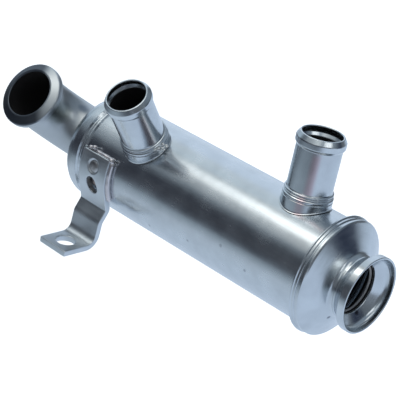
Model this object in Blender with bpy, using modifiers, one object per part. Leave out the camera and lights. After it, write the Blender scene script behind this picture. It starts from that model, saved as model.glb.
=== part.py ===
"""Exhaust gas recirculation cooler: a stainless shell with a bundle of gas tubes inside it.

Gas enters by the beaded elbow at the inlet end, runs through the tubes and leaves by the bell
and the clamp flange. Coolant enters and leaves the shell by the two beaded nipples.
Metres, +Z up, +X from the gas inlet to the gas outlet. Everything is modelled about the shell's
axis, from the edge of the inlet cap, and carried by one empty, which puts the origin on the
underside of the bracket's foot.
"""

import math

import bmesh
import bpy
from mathutils import Matrix, Vector

# Gap between pieces that are brazed or welded together
FIT_GAP = 0.0003

# Shell
SHELL_OUTER_RADIUS = 0.0254
SHELL_WALL = 0.0012
SHELL_LENGTH = 0.1455

# Inlet cap, a drawn cup whose skirt goes over the shell
INLET_CAP_WALL = 0.0009
INLET_CAP_DEPTH = 0.0108
INLET_CAP_CORNER = 0.0080
INLET_CAP_LAP = 0.0030

# Outlet cap, a drawn bell with a flared skirt over the shell, a cone and a neck with a wide fillet
OUTLET_CAP_WALL = 0.0020
OUTLET_CAP_LAP = 0.0023
OUTLET_CAP_BAND = 0.0042
OUTLET_CAP_FLARE = 0.0006
BELL_EDGE = 0.0008
BELL_EDGE_LENGTH = 0.0006
BELL_LENGTH = 0.0070
BELL_FILLET_RADIUS = 0.0032
NECK_OUTER_RADIUS = 0.0143
NECK_LENGTH = 0.0020

# Clamp flange, whose spigot stands in the neck
FLANGE_LENGTH = 0.0081
FLANGE_RIM_RADIUS = 0.0182
FLANGE_RIM_WALL = 0.0010
FLANGE_RIM_LENGTH = 0.0034
FLANGE_SEAT_DEPTH = 0.0070
FLANGE_BORE_RADIUS = 0.0120
FLANGE_STEP_RADIUS = 0.0162
FLANGE_STEP_BACK = 0.0053
FLANGE_HUB_LENGTH = 0.0007
SPIGOT_LENGTH = 0.0013
SPIGOT_WALL = 0.0010

# Gas elbow
PIPE_OUTER_RADIUS = 0.0138
PIPE_WALL = 0.0013
PIPE_BEND_RADIUS = 0.0255
PIPE_INSIDE_CAP = 0.0030
PIPE_BEFORE_BEND = 0.0012
PIPE_BEAD_HEIGHT = 0.0030
PIPE_BEAD_LAND = 0.0030
PIPE_BEAD_RAMP = 0.0018
PIPE_LIP_DRAWN_IN = 0.0008
PIPE_AFTER_BEND = 0.0092
PIPE_CLOCK = math.radians(55.5)

# Coolant nipples and the collars that carry them, heights above the shell
NIPPLE_OUTER_RADIUS = 0.01042
NIPPLE_WALL = 0.0011
NIPPLE_HEIGHT = 0.0326
NIPPLE_ROOT_HEIGHT = 0.0008
NIPPLE_BEAD_HEIGHT = 0.0009
NIPPLE_BEAD_LENGTH = 0.0060
NIPPLE_BEAD_RAMP = 0.0013
NIPPLE_LIP_RAMP = 0.0022
NIPPLE_LIP_DRAWN_IN = 0.0005
COLLAR_WALL = 0.0008
COLLAR_HEIGHT = 0.0064
COLLAR_GROOVE_DEPTH = 0.0004
COLLAR_GROOVE_LENGTH = 0.0018
COOLANT_INLET_AT = 0.0327
COOLANT_INLET_CLOCK = math.radians(36.6)
COOLANT_OUTLET_FROM_END = 0.0245
COOLANT_OUTLET_CLOCK = 0.0

# Tube bundle, its two pressed end plates and the baffles that steer the coolant
GAS_TUBE_RADIUS = 0.0035
GAS_TUBE_WALL = 0.0005
GAS_TUBE_PITCH = 0.0092
GAS_TUBE_STAND_OUT = 0.0012
PLATE_THICKNESS = 0.0015
PLATE_RIM_LENGTH = 0.0050
PLATE_INSET = 0.0005
BAFFLE_COUNT = 2
BAFFLE_THICKNESS = 0.0010
BAFFLE_WINDOW = 0.0116

# Mounting bracket, one strip folded from plate; it hugs the shell between two clock angles
BRACKET_THICKNESS = 0.0030
BRACKET_WIDTH = 0.0180
BRACKET_CENTRE = 0.01435
BRACKET_TOP_CLOCK = math.radians(72.5)
BRACKET_LEAVE_CLOCK = math.radians(108.5)
BRACKET_STRAIGHT = 0.0097
BRACKET_KNEE_LENGTH = 0.0066
BRACKET_KNEE_LEAN = math.radians(29.0)
BRACKET_LEG_LEAN = math.radians(5.0)
BRACKET_FOOT_DROP = 0.00985
BRACKET_FOOT_REACH = 0.0214
BRACKET_CREASE_RADIUS = 0.0012
BRACKET_KNEE_RADIUS = 0.0050
BRACKET_FOOT_RADIUS = 0.0045
BOLT_HOLE_RADIUS = 0.0048
BOLT_HOLE_FROM_TIP = 0.0086
SLOT_CLOCK = math.radians(105.7)
SLOT_LENGTH = 0.0087
SLOT_WIDTH = 0.0066
SLOT_TILT = math.radians(29.0)
DIMPLE_CLOCK = math.radians(85.6)
DIMPLE_RADIUS = 0.0034
DIMPLE_DEPTH = 0.0006

# Facets
SHELL_SIDES = 48
PIPE_SIDES = 28
NIPPLE_SIDES = 28
GAS_TUBE_SIDES = 10
HOLE_SIDES = 20
PIPE_BEND_STEPS = 9
CAP_CORNER_STEPS = 5
BELL_CORNER_STEPS = 3
SADDLE_STEPS = 8
FOLD_STEPS = 3

# How far a cutter runs past what it cuts
CUTTER_REACH = 0.0020

# Places along the shell's axis
SHELL_START = -INLET_CAP_LAP
SHELL_END = SHELL_START + SHELL_LENGTH
BAND_REAR = SHELL_END - OUTLET_CAP_LAP
BAND_FRONT = BAND_REAR + OUTLET_CAP_BAND
NECK_START = BAND_FRONT + BELL_LENGTH
NECK_END = NECK_START + NECK_LENGTH
FLANGE_REAR = NECK_END + FIT_GAP
FLANGE_FRONT = FLANGE_REAR + FLANGE_LENGTH
COOLANT_OUTLET_AT = SHELL_END - COOLANT_OUTLET_FROM_END

# Heights from the shell's axis
NIPPLE_TOP = SHELL_OUTER_RADIUS + NIPPLE_HEIGHT
COLLAR_TOP = SHELL_OUTER_RADIUS + COLLAR_HEIGHT
FOOT_TOP = -(SHELL_OUTER_RADIUS + BRACKET_FOOT_DROP)
FOOT_BOTTOM = FOOT_TOP - BRACKET_THICKNESS
FOOT_TIP = -(SHELL_OUTER_RADIUS + BRACKET_FOOT_REACH)
BOLT_HOLE_AT = FOOT_TIP + BOLT_HOLE_FROM_TIP

# Rings of tubes round the middle one, as many as the end plates have room for
PLATE_OUTER_RADIUS = SHELL_OUTER_RADIUS - SHELL_WALL - FIT_GAP
GAS_TUBE_HOLE_RADIUS = GAS_TUBE_RADIUS + FIT_GAP
BUNDLE_REACH = PLATE_OUTER_RADIUS - PLATE_THICKNESS - GAS_TUBE_HOLE_RADIUS
GAS_TUBE_RINGS = int(BUNDLE_REACH / GAS_TUBE_PITCH)

# Colour and roughness of the two finishes
SATIN_STEEL = ((0.55, 0.60, 0.66), 0.32)
TUBE_STEEL = ((0.50, 0.52, 0.55), 0.40)

LENGTHWISE = Matrix.Rotation(math.radians(90.0), 4, "Y")


def clear_scene():
    for obj in list(bpy.data.objects):
        bpy.data.objects.remove(obj, do_unlink=True)


def make_collection(name):
    collection = bpy.data.collections.new(name)
    bpy.context.scene.collection.children.link(collection)
    return collection


def make_material(name, finish):
    colour, roughness = finish
    material = bpy.data.materials.new(name)
    material.use_nodes = True
    shader = material.node_tree.nodes["Principled BSDF"]
    shader.inputs["Base Color"].default_value = (*colour, 1.0)
    shader.inputs["Metallic"].default_value = 1.0
    shader.inputs["Roughness"].default_value = roughness
    return material


def place(name, mesh, placement, finish):
    """A piece of the cooler, at its place about the shell's axis."""
    obj = bpy.data.objects.new(name, mesh)
    cooler.objects.link(obj)
    obj.parent = cooler_axis
    obj.matrix_local = placement
    mesh.materials.append(make_material(name + "_finish", finish))
    return obj


def place_cutter(name, mesh, placement):
    obj = bpy.data.objects.new(name, mesh)
    cutters.objects.link(obj)
    obj.parent = cooler_axis
    obj.matrix_local = placement
    obj.hide_render = True
    obj.display_type = "WIRE"
    return obj


def cut(obj, cutter):
    modifier = obj.modifiers.new("cut_" + cutter.name, "BOOLEAN")
    modifier.operation = "DIFFERENCE"
    modifier.solver = "EXACT"
    modifier.object = cutter


def finish_mesh(name, body):
    """Turns the faces outwards and shades them smooth but for the sharp edges."""
    bmesh.ops.recalc_face_normals(body, faces=body.faces)
    mesh = bpy.data.meshes.new(name)
    body.to_mesh(mesh)
    body.free()
    mesh.shade_smooth()
    mesh.set_sharp_from_angle(angle=math.radians(40.0))
    return mesh


def turned(name, outline, placement, finish, sides):
    """A closed outline of (radius, height) points, turned; it runs down the outer side first."""
    mesh = bpy.data.meshes.new(name)
    corners = [(point[0], 0.0, point[1]) for point in outline]
    count = len(corners)
    edges = [(i, (i + 1) % count) for i in range(count)]
    mesh.from_pydata(corners, edges, [])
    obj = place(name, mesh, placement, finish)
    screw = obj.modifiers.new("turn", "SCREW")
    screw.axis = "Z"
    screw.angle = math.radians(360.0)
    screw.steps = sides
    screw.render_steps = sides
    screw.use_merge_vertices = True
    screw.merge_threshold = 0.00001
    return obj


def cylinder(body, radius, low, high, sides, placement):
    """Adds a solid cylinder to a bmesh, standing on the placement's +Z from low to high."""
    middle = placement @ Matrix.Translation((0.0, 0.0, (low + high) / 2.0))
    return bmesh.ops.create_cone(
        body, cap_ends=True, segments=sides, radius1=radius, radius2=radius, depth=high - low, matrix=middle
    )


def cylinder_cutter(name, radius, low, high, sides, placement):
    body = bmesh.new()
    cylinder(body, radius, low, high, sides, Matrix.Identity(4))
    return place_cutter(name, finish_mesh(name, body), placement)


def rounded_corner(before, corner, after, radius, steps):
    """Points of the arc that rounds the corner between two straight lines."""
    towards = (before - corner).normalized()
    away = (after - corner).normalized()
    half = towards.angle(away) / 2.0
    reach = radius / math.tan(half)
    centre = corner + (towards + away).normalized() * (radius / math.sin(half))
    start = (corner + towards * reach - centre).normalized()
    end = (corner + away * reach - centre).normalized()
    return [centre + start.slerp(end, i / steps) * radius for i in range(steps + 1)]


def offset_line(points, distance):
    """The open outline moved sideways by the same distance all along, to the left of its run."""
    moved = []
    for i, point in enumerate(points):
        before = points[max(i - 1, 0)]
        after = points[min(i + 1, len(points) - 1)]
        runs = [b - a for a, b in ((before, point), (point, after)) if (b - a).length > 0.0]
        normals = [Vector((-run.y, run.x)).normalized() for run in runs]
        mean = (normals[0] + normals[-1]).normalized()
        moved.append(point + mean * (distance / mean.dot(normals[0])))
    return moved


def clocked(angle):
    """The direction at this angle from +Z, turning towards -Y."""
    return Vector((0.0, -math.sin(angle), math.cos(angle)))


def radial_placement(at, clock):
    """Local +Z points outwards from the shell's axis and local +X runs along it."""
    outwards = clocked(clock)
    along = Vector((1.0, 0.0, 0.0))
    across = outwards.cross(along)
    turn = Matrix((along, across, outwards)).transposed().to_4x4()
    return Matrix.Translation((at, 0.0, 0.0)) @ turn


def build_shell():
    inner = SHELL_OUTER_RADIUS - SHELL_WALL
    outline = [
        (SHELL_OUTER_RADIUS, SHELL_END),
        (SHELL_OUTER_RADIUS, SHELL_START),
        (inner, SHELL_START),
        (inner, SHELL_END),
    ]
    shell = turned("shell_tube", outline, LENGTHWISE, SATIN_STEEL, SHELL_SIDES)
    for name, at, clock in coolant_ports:
        port = cylinder_cutter(
            name + "_port", NIPPLE_OUTER_RADIUS - NIPPLE_WALL, 0.0,
            SHELL_OUTER_RADIUS + CUTTER_REACH, NIPPLE_SIDES, radial_placement(at, clock),
        )
        cut(shell, port)


def build_inlet_cap():
    skirt_inner = SHELL_OUTER_RADIUS + FIT_GAP
    hole = PIPE_OUTER_RADIUS + FIT_GAP
    outside_rim = Vector((skirt_inner + INLET_CAP_WALL, 0.0))
    outside_corner = Vector((outside_rim.x, -INLET_CAP_DEPTH))
    outside_hole = Vector((hole, -INLET_CAP_DEPTH))
    outside = [outside_rim]
    outside += rounded_corner(outside_rim, outside_corner, outside_hole, INLET_CAP_CORNER, CAP_CORNER_STEPS)
    outside.append(outside_hole)
    inside = offset_line(outside, -INLET_CAP_WALL)
    turned("inlet_cap", outside + inside[::-1], LENGTHWISE, SATIN_STEEL, SHELL_SIDES)


def build_outlet_cap():
    skirt_inner = SHELL_OUTER_RADIUS + FIT_GAP
    band = skirt_inner + OUTLET_CAP_WALL
    neck_end = Vector((NECK_OUTER_RADIUS, NECK_END))
    neck_start = Vector((NECK_OUTER_RADIUS, NECK_START))
    cone_end = Vector((band - BELL_EDGE, BAND_FRONT + BELL_EDGE_LENGTH))
    bell = [neck_end]
    bell += rounded_corner(neck_end, neck_start, cone_end, BELL_FILLET_RADIUS, BELL_CORNER_STEPS)
    bell.append(cone_end)
    skirt = [
        Vector((band, BAND_FRONT)),
        Vector((band + OUTLET_CAP_FLARE, BAND_REAR)),
        Vector((skirt_inner + OUTLET_CAP_FLARE, BAND_REAR)),
        Vector((skirt_inner, SHELL_END)),
    ]
    inside = offset_line(bell, -OUTLET_CAP_WALL)
    turned("outlet_cap", bell + skirt + inside[::-1], LENGTHWISE, SATIN_STEEL, SHELL_SIDES)


def build_clamp_flange():
    rim_inner = FLANGE_RIM_RADIUS - FLANGE_RIM_WALL
    rim_root = FLANGE_FRONT - FLANGE_RIM_LENGTH
    spigot_outer = NECK_OUTER_RADIUS - OUTLET_CAP_WALL - FIT_GAP
    spigot_end = FLANGE_REAR - SPIGOT_LENGTH
    outline = [
        (FLANGE_RIM_RADIUS, FLANGE_FRONT),
        (FLANGE_RIM_RADIUS, rim_root),
        (FLANGE_STEP_RADIUS, FLANGE_FRONT - FLANGE_STEP_BACK),
        (NECK_OUTER_RADIUS, FLANGE_REAR + FLANGE_HUB_LENGTH),
        (NECK_OUTER_RADIUS, FLANGE_REAR),
        (spigot_outer, FLANGE_REAR),
        (spigot_outer, spigot_end),
        (spigot_outer - SPIGOT_WALL, spigot_end),
        (FLANGE_BORE_RADIUS, FLANGE_FRONT - FLANGE_SEAT_DEPTH),
        (rim_inner, rim_root),
        (rim_inner, FLANGE_FRONT),
    ]
    turned("clamp_flange", outline, LENGTHWISE, SATIN_STEEL, SHELL_SIDES)


def pipe_stations():
    """(place, direction, outer radius) of each ring of the elbow, from the cap to the mouth.

    The elbow lies in the plane of the shell's axis and the clock direction of its mouth.
    """
    back = Vector((-1.0, 0.0, 0.0))
    out = clocked(PIPE_CLOCK)
    face = back * INLET_CAP_DEPTH
    start = face + back * PIPE_BEFORE_BEND
    stations = [(face - back * PIPE_INSIDE_CAP, back, PIPE_OUTER_RADIUS)]
    for i in range(PIPE_BEND_STEPS + 1):
        angle = math.radians(90.0) * i / PIPE_BEND_STEPS
        along = back * math.sin(angle) + out * (1.0 - math.cos(angle))
        direction = back * math.cos(angle) + out * math.sin(angle)
        stations.append((start + along * PIPE_BEND_RADIUS, direction, PIPE_OUTER_RADIUS))
    bend_end = start + (back + out) * PIPE_BEND_RADIUS
    bead_front = PIPE_AFTER_BEND - PIPE_BEAD_RAMP
    bead_rear = bead_front - PIPE_BEAD_LAND
    bead_radius = PIPE_OUTER_RADIUS + PIPE_BEAD_HEIGHT
    for reach, radius in (
        (bead_rear - PIPE_BEAD_RAMP, PIPE_OUTER_RADIUS),
        (bead_rear, bead_radius),
        (bead_front, bead_radius),
        (PIPE_AFTER_BEND, PIPE_OUTER_RADIUS - PIPE_LIP_DRAWN_IN),
    ):
        stations.append((bend_end + out * reach, out, radius))
    return stations


def ring_at(body, centre, direction, radius, across):
    ring = []
    other = direction.cross(across)
    for i in range(PIPE_SIDES):
        angle = 2.0 * math.pi * i / PIPE_SIDES
        spoke = across * math.cos(angle) + other * math.sin(angle)
        ring.append(body.verts.new(centre + spoke * radius))
    return ring


def loft_rings(body, rings):
    """Joins each ring to the next and the last to the first, as the wall of a tube."""
    for near, far in zip(rings, rings[1:] + rings[:1]):
        for i in range(PIPE_SIDES):
            j = (i + 1) % PIPE_SIDES
            body.faces.new((near[i], near[j], far[j], far[i]))


def build_elbow():
    across = Vector((1.0, 0.0, 0.0)).cross(clocked(PIPE_CLOCK))
    body = bmesh.new()
    outside = []
    inside = []
    for centre, direction, radius in pipe_stations():
        outside.append(ring_at(body, centre, direction, radius, across))
        bore = min(radius, PIPE_OUTER_RADIUS) - PIPE_WALL
        inside.append(ring_at(body, centre, direction, bore, across))
    loft_rings(body, outside + inside[::-1])
    place("inlet_elbow", finish_mesh("inlet_elbow", body), Matrix.Identity(4), SATIN_STEEL)


def build_nipple(name, at, clock):
    bead_outer = NIPPLE_OUTER_RADIUS + NIPPLE_BEAD_HEIGHT
    lip_outer = NIPPLE_OUTER_RADIUS - NIPPLE_LIP_DRAWN_IN
    bead_low = NIPPLE_TOP - NIPPLE_BEAD_LENGTH
    root = SHELL_OUTER_RADIUS + NIPPLE_ROOT_HEIGHT
    outside = [
        Vector((lip_outer, NIPPLE_TOP)),
        Vector((bead_outer, NIPPLE_TOP - NIPPLE_LIP_RAMP)),
        Vector((bead_outer, bead_low + NIPPLE_BEAD_RAMP)),
        Vector((NIPPLE_OUTER_RADIUS, bead_low)),
        Vector((NIPPLE_OUTER_RADIUS, root)),
    ]
    inside = [point - Vector((NIPPLE_WALL, 0.0)) for point in outside]
    turned(name + "_nipple", outside + inside[::-1], radial_placement(at, clock), SATIN_STEEL, NIPPLE_SIDES)


def build_collar(name, at, clock):
    bore = NIPPLE_OUTER_RADIUS + FIT_GAP
    outer = bore + COLLAR_WALL
    groove = outer - COLLAR_GROOVE_DEPTH
    groove_low = COLLAR_TOP - COLLAR_GROOVE_LENGTH
    outline = [
        (groove, COLLAR_TOP),
        (groove, groove_low),
        (outer, groove_low - COLLAR_GROOVE_DEPTH),
        (outer, 0.0),
        (bore, 0.0),
        (bore, COLLAR_TOP),
    ]
    collar = turned(name + "_collar", outline, radial_placement(at, clock), SATIN_STEEL, NIPPLE_SIDES)
    half = outer + CUTTER_REACH
    saddle = cylinder_cutter(
        name + "_saddle", SHELL_OUTER_RADIUS + FIT_GAP, at - half, at + half, SHELL_SIDES * 2, LENGTHWISE
    )
    cut(collar, saddle)


def hexagon_places(ring):
    """(y, z) of the tubes on one ring of the hexagonal grid."""
    if ring == 0:
        return [(0.0, 0.0)]
    places = []
    for side in range(6):
        start = Vector((math.cos(side * math.pi / 3.0), math.sin(side * math.pi / 3.0)))
        end = Vector((math.cos((side + 1) * math.pi / 3.0), math.sin((side + 1) * math.pi / 3.0)))
        for step in range(ring):
            spot = start.lerp(end, step / ring) * (ring * GAS_TUBE_PITCH)
            places.append((spot.x, spot.y))
    return places


def bundle_places():
    """(y, z) of every gas tube, the middle one first."""
    places = []
    for ring in range(GAS_TUBE_RINGS + 1):
        places += hexagon_places(ring)
    return places


def build_gas_tubes():
    gas_face = PLATE_INSET + PLATE_RIM_LENGTH - PLATE_THICKNESS - GAS_TUBE_STAND_OUT
    low = SHELL_START + gas_face
    high = SHELL_END - gas_face
    inner = GAS_TUBE_RADIUS - GAS_TUBE_WALL
    outline = [(GAS_TUBE_RADIUS, high), (GAS_TUBE_RADIUS, low), (inner, low), (inner, high)]
    for number, (across, up) in enumerate(bundle_places(), start=1):
        placement = Matrix.Translation((0.0, across, up)) @ LENGTHWISE
        turned(f"gas_tube_{number:02d}", outline, placement, TUBE_STEEL, GAS_TUBE_SIDES)


def bundle_cutter(name, low, high):
    """One cutter for all the tube holes of a plate, between two places along the axis."""
    body = bmesh.new()
    for across, up in bundle_places():
        placement = Matrix.Translation((0.0, across, up)) @ LENGTHWISE
        cylinder(body, GAS_TUBE_HOLE_RADIUS, low, high, GAS_TUBE_SIDES, placement)
    return place_cutter(name, finish_mesh(name, body), Matrix.Identity(4))


def build_tube_plate(name, rim_edge, inwards):
    """A pressed dish whose rim lies along the inside of the shell, open to the gas side."""
    gas_face = rim_edge + inwards * (PLATE_RIM_LENGTH - PLATE_THICKNESS)
    coolant_face = rim_edge + inwards * PLATE_RIM_LENGTH
    body = bmesh.new()
    low = min(rim_edge, coolant_face)
    high = max(rim_edge, coolant_face)
    cylinder(body, PLATE_OUTER_RADIUS, low, high, SHELL_SIDES, LENGTHWISE)
    plate = place(name, finish_mesh(name, body), Matrix.Identity(4), TUBE_STEEL)
    open_end = rim_edge - inwards * CUTTER_REACH
    hollow = cylinder_cutter(
        name + "_hollow", PLATE_OUTER_RADIUS - PLATE_THICKNESS, min(open_end, gas_face), max(open_end, gas_face),
        SHELL_SIDES, LENGTHWISE,
    )
    cut(plate, hollow)
    cut(plate, bundle_cutter(name + "_holes", low - CUTTER_REACH, high + CUTTER_REACH))


def build_baffle(name, middle, window_side):
    """A disc with a window on one side, so that the coolant crosses the tubes."""
    low = middle - BAFFLE_THICKNESS / 2.0
    high = middle + BAFFLE_THICKNESS / 2.0
    body = bmesh.new()
    cylinder(body, PLATE_OUTER_RADIUS, low, high, SHELL_SIDES, LENGTHWISE)
    window_edge = Vector((0.0, 0.0, window_side * (PLATE_OUTER_RADIUS - BAFFLE_WINDOW)))
    sliced = bmesh.ops.bisect_plane(
        body, geom=body.verts[:] + body.edges[:] + body.faces[:], plane_co=window_edge,
        plane_no=Vector((0.0, 0.0, window_side)), clear_outer=True,
    )
    rim = [item for item in sliced["geom_cut"] if isinstance(item, bmesh.types.BMEdge)]
    bmesh.ops.contextual_create(body, geom=rim)
    baffle = place(name, finish_mesh(name, body), Matrix.Identity(4), TUBE_STEEL)
    cut(baffle, bundle_cutter(name + "_holes", low - CUTTER_REACH, high + CUTTER_REACH))


def bracket_face():
    """(y, z) points of the bracket's outer face, from the saddle's top edge to the foot's tip."""
    radius = SHELL_OUTER_RADIUS + FIT_GAP + BRACKET_THICKNESS
    saddle = []
    for i in range(SADDLE_STEPS + 1):
        clock = BRACKET_TOP_CLOCK + (BRACKET_LEAVE_CLOCK - BRACKET_TOP_CLOCK) * i / SADDLE_STEPS
        saddle.append(Vector((-math.sin(clock), math.cos(clock))) * radius)
    onwards = Vector((-math.cos(BRACKET_LEAVE_CLOCK), -math.sin(BRACKET_LEAVE_CLOCK)))
    crease = saddle[-1] + onwards * BRACKET_STRAIGHT
    knee = crease + Vector((-math.sin(BRACKET_KNEE_LEAN), -math.cos(BRACKET_KNEE_LEAN))) * BRACKET_KNEE_LENGTH
    heel = Vector((knee.x + (FOOT_TOP - knee.y) * math.tan(BRACKET_LEG_LEAN), FOOT_TOP))
    tip = Vector((FOOT_TIP, FOOT_TOP))
    points = saddle
    points += rounded_corner(saddle[-1], crease, knee, BRACKET_CREASE_RADIUS, FOLD_STEPS)
    points += rounded_corner(crease, knee, heel, BRACKET_KNEE_RADIUS, FOLD_STEPS)
    points += rounded_corner(knee, heel, tip, BRACKET_FOOT_RADIUS, FOLD_STEPS * 2)
    points.append(tip)
    return points


def build_bracket():
    """A strip as wide as the bracket, thickened towards the shell, with its holes cut."""
    body = bmesh.new()
    side = BRACKET_CENTRE - BRACKET_WIDTH / 2.0
    verts = [body.verts.new((side, point.x, point.y)) for point in bracket_face()]
    edges = [body.edges.new(pair) for pair in zip(verts, verts[1:])]
    swept = bmesh.ops.extrude_edge_only(body, edges=edges)
    moved = [item for item in swept["geom"] if isinstance(item, bmesh.types.BMVert)]
    bmesh.ops.translate(body, verts=moved, vec=(BRACKET_WIDTH, 0.0, 0.0))
    mesh = bpy.data.meshes.new("mounting_bracket")
    body.to_mesh(mesh)
    body.free()
    bracket = place("mounting_bracket", mesh, Matrix.Identity(4), SATIN_STEEL)
    plate = bracket.modifiers.new("plate", "SOLIDIFY")
    plate.thickness = BRACKET_THICKNESS
    plate.offset = 1.0
    plate.use_even_offset = True
    bolt = cylinder_cutter(
        "bolt_hole", BOLT_HOLE_RADIUS, FOOT_BOTTOM - CUTTER_REACH, FOOT_TOP + CUTTER_REACH,
        HOLE_SIDES, Matrix.Translation((BRACKET_CENTRE, BOLT_HOLE_AT, 0.0)),
    )
    cut(bracket, bolt)
    cut(bracket, slot_cutter())
    face = SHELL_OUTER_RADIUS + FIT_GAP + BRACKET_THICKNESS
    dimple = cylinder_cutter(
        "spot_weld", DIMPLE_RADIUS, face - DIMPLE_DEPTH, face + CUTTER_REACH,
        HOLE_SIDES, radial_placement(BRACKET_CENTRE, DIMPLE_CLOCK),
    )
    cut(bracket, dimple)


def slot_cutter():
    """A long hole through the saddle, its length turned a little from the way round the shell."""
    body = bmesh.new()
    radius = SLOT_WIDTH / 2.0
    reach = SLOT_LENGTH / 2.0 - radius
    low = SHELL_OUTER_RADIUS - CUTTER_REACH
    high = SHELL_OUTER_RADIUS + BRACKET_THICKNESS + CUTTER_REACH
    cylinder(body, radius, low, high, HOLE_SIDES, Matrix.Identity(4))
    for vert in body.verts:
        vert.co.y += math.copysign(reach, vert.co.y)
    placement = radial_placement(BRACKET_CENTRE, SLOT_CLOCK) @ Matrix.Rotation(SLOT_TILT, 4, "Z")
    return place_cutter("slot", finish_mesh("slot", body), placement)


clear_scene()
cooler = make_collection("egr_cooler")
cutters = make_collection("cutters")
cooler_axis = bpy.data.objects.new("cooler_axis", None)
cooler.objects.link(cooler_axis)
foot_land = FOOT_TIP + (BOLT_HOLE_FROM_TIP - BOLT_HOLE_RADIUS) / 2.0
cooler_axis.location = (-BRACKET_CENTRE, -foot_land, -FOOT_BOTTOM)
bpy.context.view_layer.update()

coolant_ports = (
    ("coolant_inlet", COOLANT_INLET_AT, COOLANT_INLET_CLOCK),
    ("coolant_outlet", COOLANT_OUTLET_AT, COOLANT_OUTLET_CLOCK),
)

build_shell()
build_inlet_cap()
build_outlet_cap()
build_clamp_flange()
build_elbow()
for port_name, port_at, port_clock in coolant_ports:
    build_nipple(port_name, port_at, port_clock)
    build_collar(port_name, port_at, port_clock)
build_gas_tubes()
build_tube_plate("inlet_tube_plate", SHELL_START + PLATE_INSET, 1)
build_tube_plate("outlet_tube_plate", SHELL_END - PLATE_INSET, -1)
baffle_pitch = (COOLANT_OUTLET_AT - COOLANT_INLET_AT) / (BAFFLE_COUNT + 1)
for baffle_number in range(1, BAFFLE_COUNT + 1):
    baffle_at = COOLANT_INLET_AT + baffle_pitch * baffle_number
    build_baffle(f"baffle_{baffle_number}", baffle_at, (-1) ** baffle_number)
build_bracket()
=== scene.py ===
"""Looks of the exhaust gas recirculation cooler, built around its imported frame.

Metres, in the frame's own coordinates. A turned piece is an outline of (radius, height) points
about its own local +Z: for the pieces on the shell's axis the height runs from the inlet cap's
rim towards the outlet, for the nipples and collars it runs outwards from the shell's axis.
"""

from math import ceil, copysign, cos, exp, pi, radians, sin, sqrt, tan

import bmesh
import bpy
from mathutils import Matrix, Vector, geometry, noise


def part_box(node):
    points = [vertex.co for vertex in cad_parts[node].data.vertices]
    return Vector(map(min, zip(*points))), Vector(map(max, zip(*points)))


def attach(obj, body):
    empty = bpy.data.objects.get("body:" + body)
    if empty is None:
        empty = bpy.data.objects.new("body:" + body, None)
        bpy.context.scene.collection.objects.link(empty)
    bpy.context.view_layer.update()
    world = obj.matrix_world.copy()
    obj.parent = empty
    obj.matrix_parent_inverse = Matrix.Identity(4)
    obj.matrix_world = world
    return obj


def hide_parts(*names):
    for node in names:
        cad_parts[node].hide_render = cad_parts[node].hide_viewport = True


# Walls and forms that the solids have too
FIT_GAP = 0.0003
SHELL_WALL = 0.0012
INLET_CAP_WALL = 0.0009
INLET_CAP_CORNER = 0.0080
OUTLET_CAP_WALL = 0.0020
OUTLET_CAP_BAND = 0.0042
OUTLET_CAP_FLARE = 0.0006
BELL_EDGE = 0.0008
BELL_EDGE_LENGTH = 0.0006
BELL_FILLET_RADIUS = 0.0032
NECK_RADIUS = 0.0143
NECK_LENGTH = 0.0020
FLANGE_RIM_WALL = 0.0010
FLANGE_RIM_LENGTH = 0.0034
FLANGE_SEAT_DEPTH = 0.0070
FLANGE_BORE_RADIUS = 0.0120
FLANGE_STEP_RADIUS = 0.0162
FLANGE_STEP_BACK = 0.0053
FLANGE_HUB_LENGTH = 0.0007
FLANGE_LEDGE_DEPTH = 0.0018
SPIGOT_LENGTH = 0.0013
SPIGOT_WALL = 0.0010
PIPE_RADIUS = 0.0138
PIPE_WALL = 0.0013
PIPE_BEND_RADIUS = 0.0255
PIPE_INSIDE_CAP = 0.0030
PIPE_BEFORE_BEND = 0.0012
PIPE_BEAD_HEIGHT = 0.0030
PIPE_BEAD_LAND = 0.0030
PIPE_BEAD_RAMP = 0.0018
PIPE_LIP_DRAWN_IN = 0.0008
PIPE_AFTER_BEND = 0.0092
PIPE_CLOCK = radians(55.5)
NIPPLE_RADIUS = 0.01042
NIPPLE_WALL = 0.0011
NIPPLE_HEIGHT = 0.0326
NIPPLE_ROOT_HEIGHT = 0.0008
NIPPLE_BEAD_HEIGHT = 0.0009
NIPPLE_BEAD_LENGTH = 0.0060
NIPPLE_BEAD_RAMP = 0.0013
NIPPLE_LIP_RAMP = 0.0022
NIPPLE_LIP_DRAWN_IN = 0.0005
COLLAR_WALL = 0.0008
COLLAR_HEIGHT = 0.0064
COLLAR_GROOVE_DEPTH = 0.0004
COLLAR_GROOVE_LENGTH = 0.0018
COOLANT_INLET_CLOCK = radians(36.6)
COOLANT_OUTLET_CLOCK = 0.0
BRACKET_THICKNESS = 0.0030
BRACKET_TOP_CLOCK = radians(72.5)
BRACKET_LEAVE_CLOCK = radians(108.5)
BRACKET_STRAIGHT = 0.0097
BRACKET_KNEE_LENGTH = 0.0066
BRACKET_KNEE_LEAN = radians(29.0)
BRACKET_LEG_LEAN = radians(5.0)
BRACKET_CREASE_RADIUS = 0.0012
BRACKET_KNEE_RADIUS = 0.0050
BRACKET_FOOT_RADIUS = 0.0045
BOLT_HOLE_RADIUS = 0.0048
BOLT_HOLE_FROM_TIP = 0.0086
SLOT_CLOCK = radians(105.7)
SLOT_LENGTH = 0.0087
SLOT_WIDTH = 0.0066
SLOT_TILT = radians(29.0)
DIMPLE_CLOCK = radians(85.6)
DIMPLE_RADIUS = 0.0034
DIMPLE_DEPTH = 0.0006

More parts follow.
